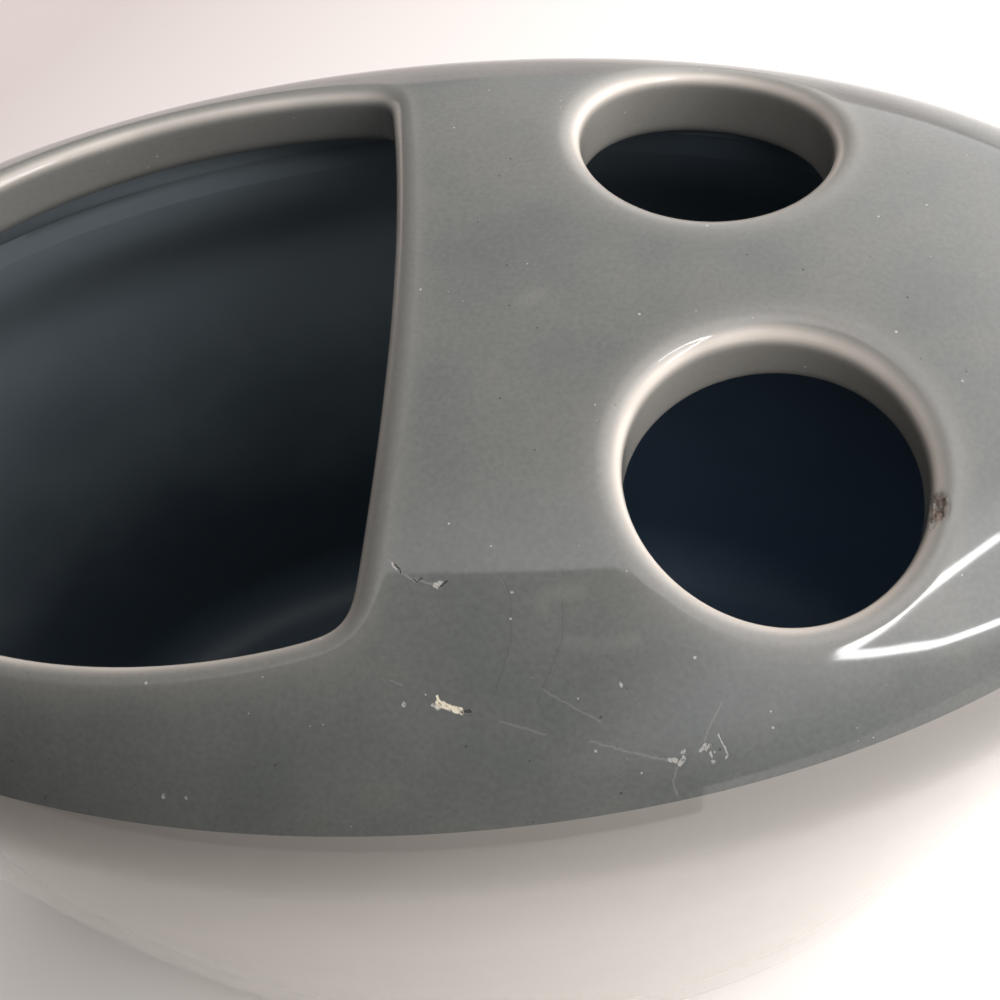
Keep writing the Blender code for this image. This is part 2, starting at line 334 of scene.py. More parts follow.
# A dark flag that stands on the floor in front, out of the picture: x, y and height
flag = {"x": (-420.0, 80.0), "y": -235.0, "height": 110.0}


def towards(turn, rise):
    # unit direction from the holder
    turn, rise = math.radians(turn), math.radians(rise)
    return Vector((math.sin(turn) * math.cos(rise), math.cos(turn) * math.cos(rise), math.sin(rise)))


def addLamp():
    # A flat lamp that faces down. Its power is what gives its face that radiance.
    data = bpy.data.lights.new("boardLamp", "AREA")
    data.shape = "RECTANGLE"
    data.size, data.size_y = (side * mm for side in boardLamp["size"])
    data.color = linear(boardLamp["colour"])[:3]
    data.energy = boardLamp["radiance"] * math.pi * data.size * data.size_y
    made = addObject("boardLamp", data)
    made.location = Vector(boardLamp["place"]) * mm
    made.visible_camera = made.visible_glossy = False


def glowing(name, radiance):
    material, tree = newMaterial(name)
    glow = add(tree, "Emission", inputs={"Strength": radiance})
    add(tree, "OutputMaterial", inputs={"Surface": glow})
    return material


def addStrip(name, strip):
    # A curved band on a sphere round the holder: a smooth line through its places, widened to both sides.
    count, around = stripSteps, stripEasing // 2
    steps = np.linspace(0, len(strip["through"]) - 1, count)
    turn, rise, width = (np.interp(steps, np.arange(len(part)), part)
                         for part in (*zip(*strip["through"]), strip["widths"]))
    weights = np.full(stripEasing, 1 / stripEasing)
    turn, rise = (np.convolve(np.pad(part, around, "reflect", reflect_type="odd"), weights, "valid")
                  for part in (turn, rise))
    middle = np.array([towards(*at) for at in zip(turn, rise)])
    ahead = np.gradient(middle, axis=0)
    sideways = np.cross(middle, ahead)
    sideways /= np.linalg.norm(sideways, axis=1)[:, None]
    half = np.tan(np.radians(width / 2))[:, None]
    corners = np.concatenate([middle - sideways * half, middle + sideways * half]) * stripAway
    corners[:, 2] += body["archTop"]
    faces = [(at, at + 1, at + count + 1, at + count) for at in range(count - 1)]
    made = addStage("strip_" + name, corners, faces, glowing("daylight_" + name, strip["radiance"]))
    made.visible_camera = made.visible_diffuse = False


def blackCard(name, net):
    # matt black card; between the two places of its own x that net gives it thins out
    material, tree = newMaterial(name)
    surface = add(tree, "BsdfDiffuse", inputs={"Color": linear(card["colour"])})
    if net:
        place = add(tree, "TexCoord").outputs["Object"]
        across = add(tree, "SeparateXYZ", inputs={0: place})
        thinness = add(tree, "MapRange", smoothly, {0: across, 1: net[0] * mm, 2: net[1] * mm})
        clear = add(tree, "BsdfTransparent")
        surface = add(tree, "MixShader", inputs={0: thinness, 1: surface, 2: clear})
    add(tree, "OutputMaterial", inputs={"Surface": surface})
    return material


def addCards():
    corners = [(*corner, 0) for corner in card["corners"]]
    made = addStage("card", corners, [tuple(range(len(corners)))], blackCard("card_net_black", card["net"]))
    made.matrix_world = camera.matrix_world
    made.visible_camera = False
    (left, right), y, height = flag["x"], flag["y"], flag["height"]
    corners = [(left, y, 0), (right, y, 0), (right, y, height), (left, y, height)]
    addStage("flag", corners, [(0, 1, 2, 3)], blackCard("flag_black", None)).visible_camera = False


def addRoom():
    world = bpy.data.worlds.new("room")
    bpy.context.scene.world = world
    world.use_nodes = True
    tree = world.node_tree
    tree.nodes.clear()
    way = add(tree, "TexCoord").outputs["Generated"]
    light = (dimmest, dimmest, dimmest)
    for glow in room.values():
        middle = tuple(towards(*glow["at"]))
        along = add(tree, "VectorMath", {"operation": "DOT_PRODUCT"}, {0: way, 1: middle})
        share = add(tree, "MapRange", smoothly, {
            0: along.outputs["Value"], 1: glow["gone"], 2: glow["full"]})
        part = add(tree, "VectorMath", {"operation": "SCALE"}, {0: glow["light"], "Scale": share})
        light = add(tree, "VectorMath", {"operation": "ADD"}, {0: light, 1: part})
    lit = add(tree, "Background", inputs={"Color": light})
    add(tree, "OutputWorld", inputs={"Surface": lit})


addLamp()
for stripName, strip in strips.items():
    addStrip(stripName, strip)
addCards()
addRoom()
bpy.context.scene.view_settings.view_transform = "Standard"

print("stage: glazes")


mostNoise = (0.3, 0.7)     # the values that a noise pattern mostly stays between


def placeOn(tree):
    # where a point lies on its piece, in millimetres
    place = add(tree, "TexCoord").outputs["Object"]
    return add(tree, "VectorMath", {"operation": "SCALE"}, {0: place, "Scale": 1 / mm})


def specksIn(tree, place, look):
    # 1 inside a round speck. Each cell of a Voronoi pattern draws two lots: the first says whether it has a
    # speck, and the second what part of the largest radius it has.
    cells = add(tree, "TexVoronoi", inputs={"Vector": place, "Scale": 1 / look["speckSpacing"]})
    lot = add(tree, "SeparateXYZ", inputs={0: cells.outputs["Color"]})
    largest = look["speckRadius"] / look["speckSpacing"]
    radius = add(tree, "Math", product, {0: lot.outputs[1], 1: largest})
    within = add(tree, "Math", {"operation": "LESS_THAN"}, {0: cells.outputs["Distance"], 1: radius})
    few = add(tree, "Math", {"operation": "GREATER_THAN"}, {0: lot, 1: look["speckless"]})
    return add(tree, "Math", product, {0: within, 1: few})


def coat(tree, bumps, inputs):
    # the outermost surface: its bumps, from amounts that each raise it by some millimetres, and its shader
    height = 0.0
    for amount, size in bumps:
        height = add(tree, "Math", {"operation": "MULTIPLY_ADD"}, {0: amount, 1: size, 2: height})
    bump = add(tree, "Bump", inputs={"Strength": 1.0, "Distance": mm, "Height": height})
    shader = add(tree, "BsdfPrincipled", inputs={**inputs, "Normal": bump})
    add(tree, "OutputMaterial", inputs={"Surface": shader})


slateLook = {
    "thick": "#757774",        # where the glaze has settled thick
    "thicker": "#6B6F6D",
    "thin": "#F6EDE2",         # where it thins over an edge and the clay shows through; on the throats partly painted light
    "paleSpeck": "#C4C4BE",
    "darkSpeck": "#414645",
    "chip": "#F2E8D0",         # freshly broken clay
    "flake": "#C6C4BF",        # glaze bruised white
    # painted shade: the dark inside the cracks and in the hollow at the end of the chip; the craze lines take
    # it faintly
    "crack": "#1F2221",
    "bite": "#BDAB9E",         # broken clay that has taken up dirt
    "mottleSize": 9.0,         # sizes and heights in millimetres
    "mottleTurns": (0.35, 0.65),   # values of the mottle between which one colour turns to the other
    "grainSize": 0.4,
    "grainShade": (0.93, 1.07),
    "speckSpacing": 0.95,
    "speckRadius": 0.11,
    "speckless": 0.8,          # share of the cells that have no speck
    "speckStrength": 0.75,
    "thinUneven": (0.8, 1.15),
    "swellSize": 11.0,
    "swellHeight": 0.03,
    "rippleSize": 0.7,
    "rippleHeight": 0.0006,
    "jaggedHeight": 0.35,      # in the bite
    "straySize": 0.35,         # how coarsely and how far the marks stray from their lines
    "strayReach": 0.15,
    "raggedSize": 0.28,
    "raggedTurns": (0.22, 0.45),
    "ior": 1.5,
    "roughness": 0.06,
    "thinRoughness": 0.12,
    "brokenRoughness": 0.75,
}
# The pale and the dark specks: a shift that gives each its own cells, and its colour
speckKinds = (((0, 0, 0), "paleSpeck"), ((5.3, 2.1, 7.7), "darkSpeck"))
# Marks of use on the glaze, seen from above: a half width, and the places that the mark runs through
marks = {
    "chip": [
        (0.17, [(-0.32, -29.30), (0.17, -29.50), (0.72, -29.70), (1.09, -29.83)]),
        (0.06, [(-0.35, -28.91), (-0.25, -29.19)]),
    ],
    "flake": [
        (0.10, [(-0.65, -29.39), (-0.34, -29.52)]), (0.10, [(-2.49, -29.21), (-2.43, -29.24)]),
        (0.14, [(-0.02, -22.34), (0.31, -22.17)]), (0.08, [(0.10, -22.47), (0.24, -22.29)]),
        (0.06, [(-2.66, -20.73), (-2.48, -21.07)]), (0.09, [(11.33, -28.88), (11.35, -28.94)]),
        (0.09, [(14.02, -32.94), (14.46, -33.00)]), (0.10, [(14.71, -33.15), (14.98, -32.91)]),
        (0.07, [(14.88, -32.61), (15.07, -32.56)]), (0.07, [(16.10, -32.53), (16.44, -32.24)]),
        (0.06, [(16.43, -32.49), (16.70, -32.29)]), (0.06, [(16.74, -32.64), (16.79, -32.79)]),
        (0.07, [(16.78, -33.08), (16.90, -33.08)]), (0.04, [(17.76, -32.80), (17.69, -32.89)]),
        (0.04, [(17.25, -31.75), (17.66, -32.36), (17.77, -32.65)]), (0.09, [(33.0, -18.3), (33.6, -18.9)]),
        (0.06, [(31.85, -20.17), (31.95, -20.10)]), (0.07, [(32.50, -20.15), (32.75, -19.95)]),
        (0.06, [(1.11, -18.40), (1.12, -18.42)]), (0.06, [(-18.83, -32.72), (-18.76, -32.72)]),
        (0.06, [(4.89, -23.13), (4.90, -23.16)]), (0.05, [(-17.29, -32.97), (-17.26, -32.97)]),
    ],
    "crack": [
        (0.05, [(-2.54, -20.87), (-2.24, -21.34)]), (0.06, [(0.36, -22.37), (0.70, -22.14)]),
        (0.03, [(-1.48, -21.85), (-1.17, -22.00), (-0.90, -21.83)]), (0.06, [(1.15, -29.87), (1.60, -29.87)]),
    ],
    "scratch": [
        (0.03, [(-2.98, -20.45), (-2.23, -21.28), (-1.54, -21.78), (-0.65, -22.04), (-0.08, -22.27)]),
        (0.03, [(9.08, -31.87), (11.38, -32.47), (14.01, -32.99)]),
        (0.02, [(6.32, -28.93), (7.88, -29.84), (9.81, -30.85)]),
        (0.02, [(17.64, -30.11), (16.92, -31.08), (16.40, -31.99)]),
        (0.03, [(14.50, -33.34), (14.19, -34.05), (14.42, -34.64)]), (0.02, [(3.51, -30.53), (6.28, -31.37)]),
        (0.02, [(-3.27, -27.80), (-2.53, -28.13)]),
    ],
    "smear": [
        (0.10, [(7.12, -23.35), (9.24, -23.31)]), (0.05, [(6.77, -23.69), (6.77, -24.42)]),
        (0.10, [(8.08, -26.23), (10.21, -26.64), (12.51, -26.48)]), (0.20, [(7.0, -1.9), (8.3, -1.3)]),
    ],
    "craze": [
        (0.03, [(4.37, -22.29), (4.73, -23.55), (4.60, -25.95), (3.96, -27.54), (3.26, -29.03)]),
        (0.03, [(8.04, -23.78), (7.83, -26.16), (6.32, -28.93), (5.94, -29.57), (6.42, -30.58)]),
    ],
}
# How each kind of mark shows: over how many millimetres it fades, its colour and how strongly, and how deep
# it is, in the order in which they are laid over one another
markLook = {
    "smear": (0.6, "flake", 0.06, 0.0),
    "craze": (0.06, "crack", 0.13, 0.003),
    "scratch": (0.07, "flake", 0.14, 0.004),
    "flake": (0.05, "flake", 0.7, 0.03),
    "chip": (0.06, "chip", 1.0, 0.04),
    # the cracks' dark is painted shade
    "crack": (0.04, "crack", 0.6, 0.04),
}


def beyondMarks(tree, place, strokes):
    # Distance in plan outside the nearest mark. For each straight piece of a mark the place is dropped onto
    # its line, held between its ends and measured from there, less the mark's half width. No link here
    # changes a number into a vector or back, because hundreds of those would be too much for one shader.
    nearest = None
    for halfWidth, path in strokes:
        for start, end in zip(path, path[1:]):
            run = np.subtract(end, start)
            offset = add(tree, "VectorMath", {"operation": "SUBTRACT"}, {0: place, 1: (*start, 0)})
            along = (*(run / (run @ run)), 0)
            share = add(tree, "VectorMath", {"operation": "DOT_PRODUCT"}, {0: offset, 1: along})
            held = add(tree, "Clamp", inputs={0: share.outputs["Value"]})
            dropped = add(tree, "VectorMath", {"operation": "SCALE"}, {0: (*run, 0), "Scale": held})
            far = add(tree, "VectorMath", {"operation": "DISTANCE"}, {0: offset, 1: dropped}).outputs["Value"]
            far = add(tree, "Math", {"operation": "SUBTRACT"}, {0: far, 1: halfWidth})
            if nearest is not None:
                far = add(tree, "Math", {"operation": "MINIMUM"}, {0: nearest, 1: far})
            nearest = far
    return nearest


def slateGlaze():
    # Gloss glaze over slip-cast clay, dipped and fired. It settles grey and faintly mottled on the flats,
    # breaks pale over every edge, and mirrors the room in a nearly smooth face. Down the throats it is paler,
    # partly as thinner glaze and partly as painted light. Knocks have chipped and cracked it, and the
    # cracks are darkened with painted shade.
    look = slateLook
    material, tree = newMaterial("slate_gloss_glaze_dipped")
    place = placeOn(tree)
    thin = add(tree, "Attribute", {"attribute_name": "paleGlazeAndThroatLight"}).outputs["Fac"]
    onTop = add(tree, "Attribute", {"attribute_name": "onTop"}).outputs["Fac"]
    broken = add(tree, "Attribute", {"attribute_name": "broken"}).outputs["Fac"]
    mottle, grain, swell, ripple = (
        add(tree, "TexNoise", inputs={"Vector": place, "Scale": 1 / look[size], "Detail": detail})
        for size, detail in (("mottleSize", 3), ("grainSize", 2), ("swellSize", 1), ("rippleSize", 2)))

    # the settled colour, its grain and its specks
    spread = add(tree, "MapRange", inputs={0: mottle, 1: look["mottleTurns"][0], 2: look["mottleTurns"][1]})
    colour = add(tree, "Mix", inColour, {
        0: spread, 6: linear(look["thick"]), 7: linear(look["thicker"])}).outputs[2]
    (least, most), (darkest, palest) = mostNoise, look["grainShade"]
    shade = add(tree, "MapRange", inputs={0: grain, 1: least, 2: most, 3: darkest, 4: palest})
    colour = add(tree, "VectorMath", {"operation": "SCALE"}, {0: colour, "Scale": shade})
    for shift, tone in speckKinds:
        moved = add(tree, "VectorMath", {"operation": "ADD"}, {0: place, 1: shift})
        speck = specksIn(tree, moved, look)
        speck = add(tree, "Math", product, {0: speck, 1: look["speckStrength"]})
        colour = add(tree, "Mix", inColour, {0: speck, 6: colour, 7: linear(look[tone])}).outputs[2]

    # pale where it thins, unevenly, and on the throats partly as painted light
    lower, upper = look["thinUneven"]
    uneven = add(tree, "MapRange", inputs={0: mottle, 1: least, 2: most, 3: lower, 4: upper})
    bare = add(tree, "Math", {"operation": "MULTIPLY", "use_clamp": True}, {0: thin, 1: uneven})
    colour = add(tree, "Mix", inColour, {0: bare, 6: colour, 7: linear(look["thin"])}).outputs[2]

    # the bite, and the marks, on the top only, with their edges broken up
    plan = add(tree, "VectorMath", product, {0: place, 1: (1, 1, 0)})
    stray = add(tree, "TexNoise", inputs={"Vector": place, "Scale": 1 / look["straySize"], "Detail": 3})
    reach = look["strayReach"]
    stray = add(tree, "VectorMath", {"operation": "MULTIPLY_ADD"}, {
        0: stray.outputs["Color"], 1: (2 * reach, 2 * reach, 0), 2: (-reach, -reach, 0)})
    strayed = add(tree, "VectorMath", {"operation": "ADD"}, {0: plan, 1: stray})
    ragged = add(tree, "TexNoise", inputs={"Vector": place, "Scale": 1 / look["raggedSize"], "Detail": 1})
    first, last = look["raggedTurns"]
    ragged = add(tree, "MapRange", inputs={0: ragged, 1: first, 2: last})
    colour = add(tree, "Mix", inColour, {0: broken, 6: colour, 7: linear(look["bite"])}).outputs[2]
    jagged = add(tree, "Math", product, {0: broken, 1: grain})
    bumps = [(swell, look["swellHeight"]), (ripple, look["rippleHeight"]), (jagged, look["jaggedHeight"])]
    masks = {}
    for kind, (soft, tone, strength, depth) in markLook.items():
        far = beyondMarks(tree, strayed, marks[kind])
        mask = add(tree, "MapRange", inputs={0: far, 1: 0.0, 2: soft, 3: 1.0, 4: 0.0})
        mask = add(tree, "Math", product, {0: mask, 1: onTop})
        if kind in ("flake", "chip"):
            mask = add(tree, "Math", product, {0: mask, 1: ragged})
        masks[kind] = mask
        bumps.append((mask, -depth))
        seen = add(tree, "Math", product, {0: mask, 1: strength})
        colour = add(tree, "Mix", inColour, {0: seen, 6: colour, 7: linear(look[tone])}).outputs[2]

    roughness = look["roughness"]
    for mask, rougher in ((bare, "thinRoughness"), (masks["chip"], "brokenRoughness"),
                          (masks["flake"], "brokenRoughness"), (broken, "brokenRoughness")):
        roughness = add(tree, "Mix", {"data_type": "FLOAT"}, {0: mask, 2: roughness, 3: look[rougher]})
    coat(tree, bumps, {"Base Color": colour, "Roughness": roughness, "IOR": look["ior"]})
    return material


insideLook = {
    "upper": "#8A959B",
    "bottomTone": "#414E58",      # painted shade: darker low down on the pocket's side
    "upperEnd": "#4E5A64",     # the same two under the brush holes, where the painted shade lies high up and the bottom is painted paler
    "bottomToneEnd": "#869FB8",
    "ends": (0.0, 26.0),       # x between which it changes to those
    "from": 20.0,              # heights between which it changes, in millimetres
    "to": 74.0,
    "unevenness": 12.0,
    "swellSize": 14.0,
    "swellHeight": 0.35,
    "ior": 1.5,
    "roughness": 0.5,
}


def insideGlaze():
    # The same glaze inside the pot, bluer, with painted shade and light: on the pocket's side darker towards
    # the bottom, under the brush holes darker high up and paler towards the bottom.
    look = insideLook
    material, tree = newMaterial("slate_gloss_glaze_inside_painted_shade")
    place = placeOn(tree)
    swell = add(tree, "TexNoise", inputs={"Vector": place, "Scale": 1 / look["swellSize"], "Detail": 2})
    apart = add(tree, "SeparateXYZ", inputs={0: place})
    end = add(tree, "MapRange", smoothly, {
        0: apart.outputs[0], 1: look["ends"][0], 2: look["ends"][1]}).outputs[0]
    upper, bottomTone = (
        add(tree, "Mix", inColour, {
            0: end, 6: linear(look[tone]), 7: linear(look[tone + "End"])}).outputs[2]
        for tone in ("upper", "bottomTone"))
    level = apart.outputs[2]
    shift = add(tree, "MapRange", inputs={0: swell, 3: -look["unevenness"], 4: look["unevenness"]})
    level = add(tree, "Math", inputs={0: level, 1: shift})
    # painted shade and light: the tone changes with height, and with x towards the brush holes
    share = add(tree, "MapRange", smoothly, {0: level, 1: look["from"], 2: look["to"]})
    colour = add(tree, "Mix", inColour, {0: share, 6: bottomTone, 7: upper}).outputs[2]
    coat(tree, [(swell, look["swellHeight"])], {
        "Base Color": colour, "Roughness": look["roughness"], "IOR": look["ior"]})
    return material


whiteLook = {
    "glaze": "#C2BEB9",
    "shade": "#BBB5AF",
    "lineShade": 0.66,             # painted shade: share of its paleness that it keeps at the colour line
    "lineShadeReach": 28.0,        # and over how many millimetres that painted shade fades
    "speck": "#8D857C",
    "mottleSize": 12.0,
    "speckSpacing": 6.0,
    "speckRadius": 0.14,
    "speckless": 0.86,
    "swellSize": 14.0,
    "swellHeight": 0.03,
    "ior": 1.5,
    "roughness": 0.06,
}


def whiteGlaze():
    # White gloss glaze, poured and fired: a warm white that pools a little darker, with a rare iron speck,
    # and with painted shade that darkens it just below the colour line.
    look = whiteLook
    material, tree = newMaterial("white_gloss_glaze_poured")
    place = placeOn(tree)
    mottle, swell = (
        add(tree, "TexNoise", inputs={"Vector": place, "Scale": 1 / look[size], "Detail": detail})
        for size, detail in (("mottleSize", 3), ("swellSize", 1)))
    colour = add(tree, "Mix", inColour, {
        0: mottle, 6: linear(look["glaze"]), 7: linear(look["shade"])}).outputs[2]
    speck = specksIn(tree, place, look)
    colour = add(tree, "Mix", inColour, {0: speck, 6: colour, 7: linear(look["speck"])}).outputs[2]
    level = add(tree, "SeparateXYZ", inputs={0: place}).outputs[2]
    # painted shade: darker just below the colour line, fading downwards
    clear = add(tree, "MapRange", smoothly, {
        0: level, 1: colourLine, 2: colourLine - look["lineShadeReach"], 3: look["lineShade"], 4: 1.0})
    colour = add(tree, "VectorMath", {"operation": "SCALE"}, {0: colour, "Scale": clear})
    coat(tree, [(swell, look["swellHeight"])], {
        "Base Color": colour, "Roughness": look["roughness"], "IOR": look["ior"]})
    return material


clayLook = {"pale": "#DCCFBC", "dark": "#CDBFAA", "grainSize": 0.5, "grainHeight": 0.06, "roughness": 0.85}


def bareClay():
    # Bisque-fired clay, wiped clean of glaze: matt, chalky and finely grained.
    look = clayLook
    material, tree = newMaterial("bisque_clay_unglazed")
    place = placeOn(tree)
    grain = add(tree, "TexNoise", inputs={"Vector": place, "Scale": 1 / look["grainSize"], "Detail": 3})
    colour = add(tree, "Mix", inColour, {
        0: grain, 6: linear(look["pale"]), 7: linear(look["dark"])}).outputs[2]
    coat(tree, [(grain, look["grainHeight"])], {"Base Color": colour, "Roughness": look["roughness"]})
    return material


rubberLook = {"colour": "#9B9B98", "grainSize": 0.3, "grainHeight": 0.01, "roughness": 0.55}


def padRubber():
    # Silicone rubber, moulded: matt grey, with a soft sheen and a fine moulded grain.
    look = rubberLook
    material, tree = newMaterial("silicone_rubber_moulded")
    place = placeOn(tree)
    grain = add(tree, "TexNoise", inputs={"Vector": place, "Scale": 1 / look["grainSize"], "Detail": 2})
    coat(tree, [(grain, look["grainHeight"])], {
        "Base Color": linear(look["colour"]), "Roughness": look["roughness"]})
    return material


slate = slateGlaze()
insideShaded = insideGlaze()
white = whiteGlaze()
clay = bareClay()
rubber = padRubber()

print("stage: grey crown")

crown = {
    "wall": 6.0,
    "lip": 1.8,                # radius of each opening's rounded lip
    "innerEdge": 1.3,          # radius at the bottom of each throat
    "divide": 4.5,             # x of the line where the pocket's grid meets the holes' grids
    "seat": 3.8,               # how far the skirt stands in from the outside
    "skirt": 3.0,
    "skirtBottom": crownLow[2],
    "seatGap": 0.15,
    "seatRows": (0.5, 0.85),   # shares of the seat's width at which it has rows
    "crowding": 0.9,           # under 1, the arch's rows crowd towards its edge
}
pocket = {
    "centre": (-14.3, 0.6),
    "halfLength": 33.4,
    "halfWidth": 25.75,
    "unevenness": 2.1,         # the front half is longer than the back half by twice this
    "skew": 0.047,
    "sideX": -4.05,
    "sideBow": 1.6,
    "bowSpan": 22.0,
    "sideSlant": 0.067,
    "easing": 1.5,             # spread of the averaging that rounds the two corners
    "throat": 6.1,
    "aim": (-20.0, 0.0),       # place that the grid's lines run out from
}
# The two brush holes, cut by hand: the front one is a little shorter, and its throat is deeper on its left
backHole = {"centre": (22.4, 15.2), "reach": (9.9, 10.2), "throat": 7.3, "throatSlant": 0.0}
frontHole = {"centre": (22.95, -15.85), "reach": (10.25, 9.75), "throat": 5.9, "throatSlant": 0.12}
fineness = {"pocket": 470, "axis": 108, "arc": 140, "top": 30, "lip": 12, "throat": 8, "edge": 6, "under": 11,
            "skirt": 3, "traced": 8000, "side": 2000, "eased": 4096}
closeTo = 1e-4        # millimetres within which a grid point is on a line
beyond = 99.0         # a distance at which nothing thins the glaze


def pocketOutline(count):
    # The pocket's mouth in plan, counter-clockwise: an oval that drifts sideways along its length, cut off by
    # a bowed and slanting side. Averaging along it, as a product of its spectrum, rounds the corners.
    turn = np.linspace(0, 2 * np.pi, fineness["traced"])
    along = (pocket["halfLength"] - pocket["unevenness"] * np.sin(turn)) * np.cos(turn)
    x = pocket["centre"][0] + along
    y = pocket["centre"][1] + pocket["halfWidth"] * np.sin(turn) + pocket["skew"] * along

    def side(y):
        bow = pocket["sideBow"] * (1 - (y / pocket["bowSpan"]) ** 2)
        return pocket["sideX"] + bow + pocket["sideSlant"] * y
    kept = x < side(y)
    x, y = x[kept], y[kept]
    sideY = np.linspace(y[-1], y[0], fineness["side"])[1:-1]
    outline = np.concatenate([x, side(sideY)]) + 1j * np.concatenate([y, sideY])
    outline = evenly(outline, fineness["eased"])
    length = np.abs(np.roll(outline, -1) - outline).sum()
    waves = np.fft.fftfreq(outline.size, length / outline.size)
    eased = np.fft.ifft(np.fft.fft(outline) * np.exp(-2 * (np.pi * waves * pocket["easing"]) ** 2))
    return evenly(eased, count)


def evenly(outline, count):
    # a closed outline, as complex numbers, read again at even steps of its length
    closed = np.append(outline, outline[0])
    walked = np.append(0, np.cumsum(np.abs(np.diff(closed))))
    wanted = np.linspace(0, walked[-1], count, endpoint=False)
    return np.interp(wanted, walked, closed.real) + 1j * np.interp(wanted, walked, closed.imag)


def pocketCell():
    # The pocket's outline, its outward normals, and the edge of its part of the arch: lines from a place
    # inside the pocket, run out to the colour line or to the straight divide.
    outline = pocketOutline(fineness["pocket"])
    ahead = np.roll(outline, -1) - np.roll(outline, 1)
    normal = -1j * ahead / np.abs(ahead)
    aim = complex(*pocket["aim"])
    angle = np.angle(outline - aim)
    reach = reachToLine(aim.real, aim.imag, angle)
    facing = np.cos(angle) > 0.05
    toDivide = np.where(facing, (crown["divide"] - aim.real) / np.where(facing, np.cos(angle), 1), np.inf)
    edge = aim + np.minimum(reach, toDivide) * np.exp(1j * angle)
    corner = reachToLine(crown["divide"], 0.0, np.array([math.pi / 2]))[0]
    for y in (corner, -corner, 0):
        place = complex(crown["divide"], y)
        edge[np.argmin(np.abs(edge - place))] = place
    return outline, normal, edge


def holeCell(hole, divideY):
    # A brush hole's outline, its normals, and the edge of its part of the arch: the long axis, the colour
    # line and the divide, along lines that run out from the hole's centre. divideY are the pocket cell's
    # points on the divide. Those on the long axis are the same for both holes.
    x, y = hole["centre"][0], abs(hole["centre"][1])
    side = math.copysign(1, hole["centre"][1])
    end = reachToLine(0.0, 0.0, np.array([0.0]))[0]
    borderY = np.sort(divideY[divideY * side > -closeTo] * side)
    evenX = (backHole["centre"][0] + frontHole["centre"][0]) / 2
    evenY = (backHole["centre"][1] - frontHole["centre"][1]) / 2
    first, last = math.atan2(-evenY, crown["divide"] - evenX), math.atan2(-evenY, end - evenX)
    down = np.linspace(first, last, fineness["axis"])
    axisX = evenX - evenY / np.tan(down)
    axisX[0], axisX[-1] = crown["divide"], end
    corner = math.atan2(borderY[-1] - y, crown["divide"] - x)
    outer = np.linspace(math.atan2(-y, end - x), corner, fineness["arc"])[1:-1]
    arc = x + 1j * y + reachToLine(x, y, outer) * np.exp(1j * outer)
    edge = np.concatenate([axisX.astype(complex), arc, crown["divide"] + 1j * borderY[:0:-1]])
    if side < 0:
        edge = np.conj(edge)[::-1]
    way = np.angle(edge - complex(*hole["centre"]))
    halfX, halfY = hole["reach"]
    outline = complex(*hole["centre"]) + halfX * np.cos(way) + 1j * halfY * np.sin(way)
    normal = np.cos(way) / halfX + 1j * np.sin(way) / halfY
    return outline, normal / np.abs(normal), edge


def underHeight(place):
    # Underside of the arch: the same formula with the wall's thickness taken off every size.
    wall = crown["wall"]
    left = np.clip(1 - (place.real / (halfLength - wall)) ** 2 - (place.imag / (halfWidth - wall)) ** 2, 0, 1)
    lift = body["endLift"] * (place.real / halfLength) ** 2 * left
    return widest + (body["archRise"] - wall) * left ** (1 / body["shoulderPower"]) + lift


def innerOval(distance):
    # half length and half width of the oval that stands this far inside the colour line, and the line's own
    long = reachToLine(0.0, 0.0, np.array([0.0]))[0]
    wide = reachToLine(0.0, 0.0, np.array([math.pi / 2]))[0]
    return long - distance, wide - distance, long, wide


# How far the glaze has run off the edges, and how much painted light brightens the throats: sizes in
# millimetres, shares from 0 to 1
glazeThinningAndThroatLight = {
    "hole": 1.0,               # how bare a brush hole's lip is
    "pocket": 0.65,
    "middle": -0.4,            # the palest line, from the middle of the lip towards the top
    "width": 0.54,
    "halo": 1.9,
    "haloShare": 0.24,
    "throatShare": 0.24,       # on the throat's upright wall: partly thinner glaze, partly painted light
    "lowerShare": 0.5,
    "lowerWidth": 0.4,
}


def palenessAt(fromLip, fromEdge, barest):
    # How pale the glaze is: a bell curve over the distance from the lip's palest line, a wider one on the
    # top beside it, an even share down the throat, partly thinner glaze and partly painted light, and a
    # narrow bell curve round the throat's lower edge.
    over = fromLip - glazeThinningAndThroatLight["middle"]
    core = np.exp(-(over / glazeThinningAndThroatLight["width"]) ** 2)
    halo = glazeThinningAndThroatLight["haloShare"] * np.exp(-(over / glazeThinningAndThroatLight["halo"]) ** 2) * (1 - core) * (over > 0)
    throat = glazeThinningAndThroatLight["throatShare"] * (1 - core) * (over <= 0)
    lower = glazeThinningAndThroatLight["lowerShare"] * np.exp(-(fromEdge / glazeThinningAndThroatLight["lowerWidth"]) ** 2)
    return barest * np.clip(core + halo + np.maximum(throat, lower), 0, 1)


